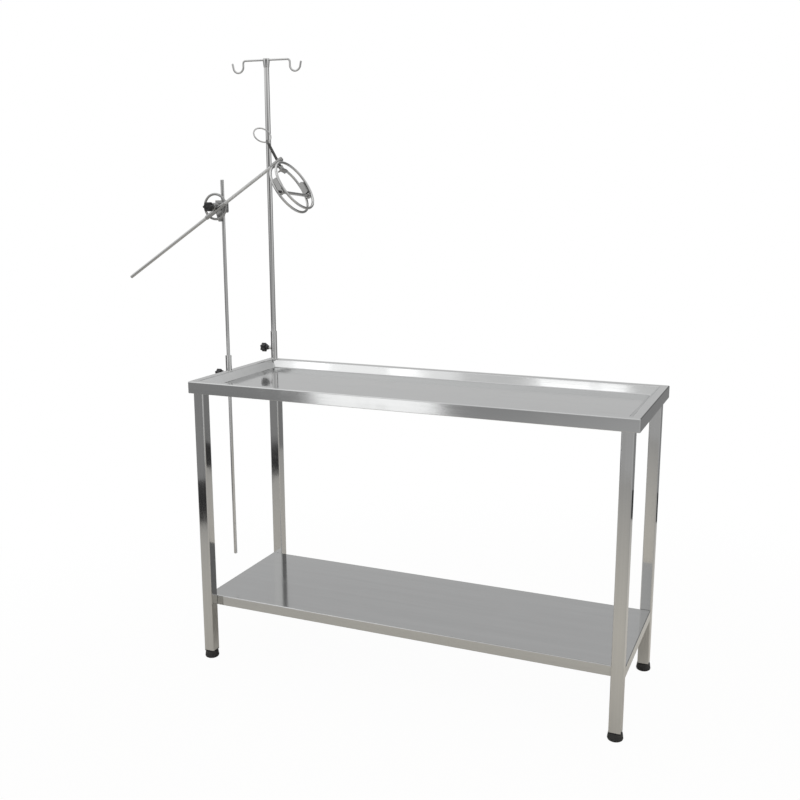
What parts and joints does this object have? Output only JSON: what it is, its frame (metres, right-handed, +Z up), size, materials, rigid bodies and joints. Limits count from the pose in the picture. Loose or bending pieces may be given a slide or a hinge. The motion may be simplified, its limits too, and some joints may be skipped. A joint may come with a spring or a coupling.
{
  "type": "animal dissection table",
  "caption": "Stainless steel dissection table with a sunken top, lower shelf, infusion pole with bag hooks, and a ring head holder on a tilting arm.",
  "frame": {"origin": "on the floor, under the middle of the box around the whole object", "axes": "+Z up, +X along the table's length from the pole's end to the free end, +Y to the back"},
  "size_m": [1.5708, 0.464, 1.781],
  "materials": {
    "stainless_sheet": "satin",
    "stainless_tube": "polished tube",
    "polished_bar": "polished bar",
    "dark_screw": "blackened steel",
    "black_plastic": "moulded, slight sheen",
    "foot_rubber": "matt"
  },
  "bodies": {
    "table": {"table_top": "stainless_sheet", "lower_shelf": "stainless_sheet", "top_channel_front": "stainless_sheet", "top_channel_back": "stainless_sheet", "shelf_channel_front": "stainless_sheet", "shelf_channel_back": "stainless_sheet", "pole_socket": "stainless_tube", "pole_socket_boss": "stainless_tube", "pole_guide_bush": "black_plastic", "rod_socket": "stainless_tube", "rod_socket_boss": "stainless_tube", "leg_front_left": "stainless_tube", "leg_plate_front_left": "stainless_sheet", "leg_plug_front_left": "black_plastic", "leg_front_right": "stainless_tube", "leg_plate_front_right": "stainless_sheet", "leg_plug_front_right": "black_plastic", "leg_back_left": "stainless_tube", "leg_plate_back_left": "stainless_sheet", "leg_plug_back_left": "black_plastic", "leg_back_right": "stainless_tube", "leg_plate_back_right": "stainless_sheet", "leg_plug_back_right": "black_plastic"},
    "foot_stem_front_left": {"foot_stem_front_left": "polished_bar"},
    "foot_stem_front_right": {"foot_stem_front_right": "polished_bar"},
    "foot_stem_back_left": {"foot_stem_back_left": "polished_bar"},
    "foot_stem_back_right": {"foot_stem_back_right": "polished_bar"},
    "foot_pad_front_left": {"foot_pad_front_left": "foot_rubber"},
    "foot_pad_front_right": {"foot_pad_front_right": "foot_rubber"},
    "foot_pad_back_left": {"foot_pad_back_left": "foot_rubber"},
    "foot_pad_back_right": {"foot_pad_back_right": "foot_rubber"},
    "pole": {"infusion_pole": "stainless_tube", "pole_end_plug": "black_plastic"},
    "hook_head": {"hook_collar": "stainless_tube", "hook_bar": "polished_bar"},
    "pole_screw": {"pole_clamp_screw": "polished_bar"},
    "pole_knob": {"pole_knob": "black_plastic"},
    "rod": {"upright_rod": "polished_bar"},
    "rod_screw": {"rod_clamp_screw": "polished_bar"},
    "rod_knob": {"rod_knob": "black_plastic"},
    "rod_clamp": {"clamp_jaw": "polished_bar"},
    "clamp_screw": {"clamp_pivot_screw": "polished_bar"},
    "clamp_knob": {"clamp_knob": "black_plastic"},
    "arm_sleeve": {"arm_sleeve": "polished_bar", "clamp_washer": "polished_bar", "clamp_hoop": "polished_bar"},
    "arm": {"head_arm": "polished_bar"},
    "head_holder": {"head_block": "polished_bar", "ring_hoop_near": "polished_bar", "ring_hoop_far": "polished_bar", "side_block_front": "polished_bar", "side_block_back": "polished_bar", "bite_bar_bracket_front": "polished_bar", "bite_bar_bracket_back": "polished_bar", "bite_bar": "polished_bar", "bite_bar_screw_front": "dark_screw", "bite_bar_screw_back": "dark_screw"},
    "nose_jaw": {"nose_jaw": "polished_bar"},
    "jaw_screw": {"jaw_screw": "polished_bar", "jaw_loop_handle": "polished_bar"}
  },
  "joints": [
    {"name": "foot_front_left_travel", "type": "slide", "parent": "table", "child": "foot_stem_front_left", "axis": [0, 0, -1], "range_m": [0, 0.015]},
    {"name": "foot_front_left_turn", "type": "hinge", "parent": "foot_stem_front_left", "child": "foot_pad_front_left", "pos_m": [-0.46459, -0.2103, 0], "axis": [0, 0, -1], "range_deg": [0, 3601]},
    {"name": "foot_front_right_travel", "type": "slide", "parent": "table", "child": "foot_stem_front_right", "axis": [0, 0, -1], "range_m": [0, 0.015]},
    {"name": "foot_front_right_turn", "type": "hinge", "parent": "foot_stem_front_right", "child": "foot_pad_front_right", "pos_m": [0.75541, -0.2103, 0], "axis": [0, 0, -1], "range_deg": [0, 3601]},
    {"name": "foot_back_left_travel", "type": "slide", "parent": "table", "child": "foot_stem_back_left", "axis": [0, 0, -1], "range_m": [0, 0.015]},
    {"name": "foot_back_left_turn", "type": "hinge", "parent": "foot_stem_back_left", "child": "foot_pad_back_left", "pos_m": [-0.46459, 0.2103, 0], "axis": [0, 0, -1], "range_deg": [0, 3601]},
    {"name": "foot_back_right_travel", "type": "slide", "parent": "table", "child": "foot_stem_back_right", "axis": [0, 0, -1], "range_m": [0, 0.015]},
    {"name": "foot_back_right_turn", "type": "hinge", "parent": "foot_stem_back_right", "child": "foot_pad_back_right", "pos_m": [0.75541, 0.2103, 0], "axis": [0, 0, -1], "range_deg": [0, 3601]},
    {"name": "pole_height", "type": "slide", "parent": "table", "child": "pole", "axis": [0, 0, 1], "range_m": [-0.2, 0.05]},
    {"name": "hook_turn", "type": "hinge", "parent": "pole", "child": "hook_head", "pos_m": [-0.46759, 0.213, 1.77], "axis": [0, 0, 1], "continuous": true},
    {"name": "pole_screw_travel", "type": "slide", "parent": "table", "child": "pole_screw", "axis": [-1, 0, 0], "range_m": [0, 0.0015]},
    {"name": "pole_knob_turn", "type": "hinge", "parent": "pole_screw", "child": "pole_knob", "pos_m": [-0.46759, 0.213, 0.8855], "axis": [-1, 0, 0], "range_deg": [0, 541]},
    {"name": "rod_height", "type": "slide", "parent": "table", "child": "rod", "axis": [0, 0, 1], "range_m": [-0.06, 0.3]},
    {"name": "rod_screw_travel", "type": "slide", "parent": "table", "child": "rod_screw", "axis": [-1, 0, 0], "range_m": [0, 0.0015]},
    {"name": "rod_knob_turn", "type": "hinge", "parent": "rod_screw", "child": "rod_knob", "pos_m": [-0.47859, -0.04, 0.8395], "axis": [-1, 0, 0], "range_deg": [0, 541]},
    {"name": "clamp_swing", "type": "hinge", "parent": "rod", "child": "rod_clamp", "pos_m": [-0.47859, -0.04, 1.338], "axis": [0, 0, 1], "range_deg": [-60, 20]},
    {"name": "clamp_screw_travel", "type": "slide", "parent": "rod_clamp", "child": "clamp_screw", "axis": [0, -1, 0], "range_m": [0, 0.0015]},
    {"name": "clamp_knob_turn", "type": "hinge", "parent": "clamp_screw", "child": "clamp_knob", "pos_m": [-0.47859, -0.04, 1.338], "axis": [0, -1, 0], "range_deg": [0, 541]},
    {"name": "arm_tilt", "type": "hinge", "parent": "rod_clamp", "child": "arm_sleeve", "pos_m": [-0.47859, -0.04, 1.338], "axis": [0, -1, 0], "range_deg": [-35, 25]},
    {"name": "arm_reach", "type": "slide", "parent": "arm_sleeve", "child": "arm", "axis": [0.842, 0, 0.5395], "range_m": [-0.08, 0.1]},
    {"name": "head_roll", "type": "hinge", "parent": "arm", "child": "head_holder", "pos_m": [-0.26157, -0.09, 1.46102], "axis": [0.842, 0, 0.5395], "range_deg": [-60, 60]},
    {"name": "nose_jaw_travel", "type": "slide", "parent": "head_holder", "child": "nose_jaw", "axis": [0.5375, -0.0872, -0.8388], "range_m": [0, 0.04]},
    {"name": "jaw_screw_turn", "type": "hinge", "parent": "nose_jaw", "child": "jaw_screw", "pos_m": [-0.26157, -0.09, 1.46102], "axis": [0.5375, -0.0872, -0.8388], "range_deg": [0, 7201]}
  ],
  "couplings": [
    {"joint": "foot_front_left_turn", "follows": "foot_front_left_travel", "rad_per_m": 4188.8},
    {"joint": "foot_front_right_turn", "follows": "foot_front_right_travel", "rad_per_m": 4188.8},
    {"joint": "foot_back_left_turn", "follows": "foot_back_left_travel", "rad_per_m": 4188.8},
    {"joint": "foot_back_right_turn", "follows": "foot_back_right_travel", "rad_per_m": 4188.8},
    {"joint": "pole_knob_turn", "follows": "pole_screw_travel", "rad_per_m": 6283.2},
    {"joint": "rod_knob_turn", "follows": "rod_screw_travel", "rad_per_m": 6283.2},
    {"joint": "clamp_knob_turn", "follows": "clamp_screw_travel", "rad_per_m": 6283.2},
    {"joint": "jaw_screw_turn", "follows": "nose_jaw_travel", "rad_per_m": 3141.6}
  ]
}
